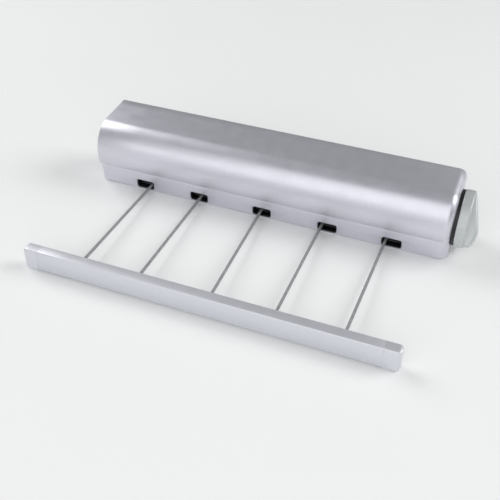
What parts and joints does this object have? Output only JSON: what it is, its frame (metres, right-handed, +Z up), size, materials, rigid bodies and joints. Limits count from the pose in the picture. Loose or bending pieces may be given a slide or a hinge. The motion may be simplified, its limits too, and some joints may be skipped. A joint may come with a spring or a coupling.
{
  "type": "retractable clothesline",
  "caption": "Wall-mounted retractable clothesline: a long rounded housing with a spring drum inside, parallel lines that run out to a straight pull bar, and a lock knob on one end.",
  "frame": {"origin": "centre of the housing's flat wall face", "axes": "+X along the housing towards the lock knob, +Y into the wall, +Z up"},
  "size_m": [0.4015, 0.22, 0.0724],
  "materials": {
    "housing_paint": "satin silver-grey paint over moulded plastic",
    "bar_paint": "satin silver-grey paint over moulded plastic",
    "knob_plastic": "satin light grey plastic",
    "guide_plastic": "black plastic",
    "inner_plastic": "plain grey plastic",
    "nylon": "natural nylon",
    "steel": "bright steel",
    "line": "grey plastic-coated line"
  },
  "bodies": {
    "housing": {"wall_plate": "inner_plastic", "upper_cover": "housing_paint", "lower_cover": "housing_paint", "left_bulkhead": "inner_plastic", "right_bulkhead": "inner_plastic", "left_bush": "nylon", "right_bush": "nylon", "knob_bush": "nylon", "knob_washer": "guide_plastic", "spring_cup": "inner_plastic", "mainspring": "steel", "pawl_pin": "steel", "pawl_spring": "steel", "line_guide_1": "guide_plastic", "line_guide_2": "guide_plastic", "line_guide_3": "guide_plastic", "line_guide_4": "guide_plastic", "line_guide_5": "guide_plastic", "plate_screw_1": "steel", "plate_screw_2": "steel", "plate_screw_3": "steel", "plate_screw_4": "steel", "cover_screw_1": "steel", "cover_screw_2": "steel"},
    "drum": {"drum_shaft": "steel", "spring_arbor": "inner_plastic", "ratchet_wheel": "nylon", "spool_1": "inner_plastic", "spool_2": "inner_plastic", "spool_3": "inner_plastic", "spool_4": "inner_plastic", "spool_5": "inner_plastic", "winding_1": "line", "winding_2": "line", "winding_3": "line", "winding_4": "line", "winding_5": "line"},
    "lock_knob": {"lock_knob": "knob_plastic", "cam_spindle": "nylon"},
    "pawl": {"pawl": "nylon"},
    "pull_bar": {"bar_front": "bar_paint", "bar_back": "bar_paint", "bar_cap_left": "bar_paint", "bar_cap_right": "bar_paint", "ferrule_1": "steel", "ferrule_2": "steel", "ferrule_3": "steel", "ferrule_4": "steel", "ferrule_5": "steel", "line_1": "line", "line_2": "line", "line_3": "line", "line_4": "line", "line_5": "line"}
  },
  "joints": [
    {"name": "bar_pull", "type": "slide", "parent": "housing", "child": "pull_bar", "axis": [0, -1, 0], "range_m": [-0.15116, 3.25], "deforming": ["line_1", "line_2", "line_3", "line_4", "line_5"]},
    {"name": "drum_spin", "type": "hinge", "parent": "housing", "child": "drum", "pos_m": [0, -0.0295, 0], "axis": [-1, 0, 0], "range_deg": [-600.49, 12900.47], "deforming": ["mainspring"]},
    {"name": "knob_turn", "type": "hinge", "parent": "housing", "child": "lock_knob", "pos_m": [0.19, -0.0295, 0], "axis": [-1, 0, 0], "range_deg": [0, 90]},
    {"name": "pawl_drop", "type": "hinge", "parent": "housing", "child": "pawl", "pos_m": [0.1755, -0.05353, 0.00689], "axis": [-1, 0, 0], "range_deg": [-0.2, 11.2], "deforming": ["pawl_spring"]}
  ],
  "couplings": [
    {"joint": "drum_spin", "follows": "bar_pull", "rad_per_m": 69.276},
    {"joint": "pawl_drop", "follows": "knob_turn", "ratio": 0.12222}
  ]
}
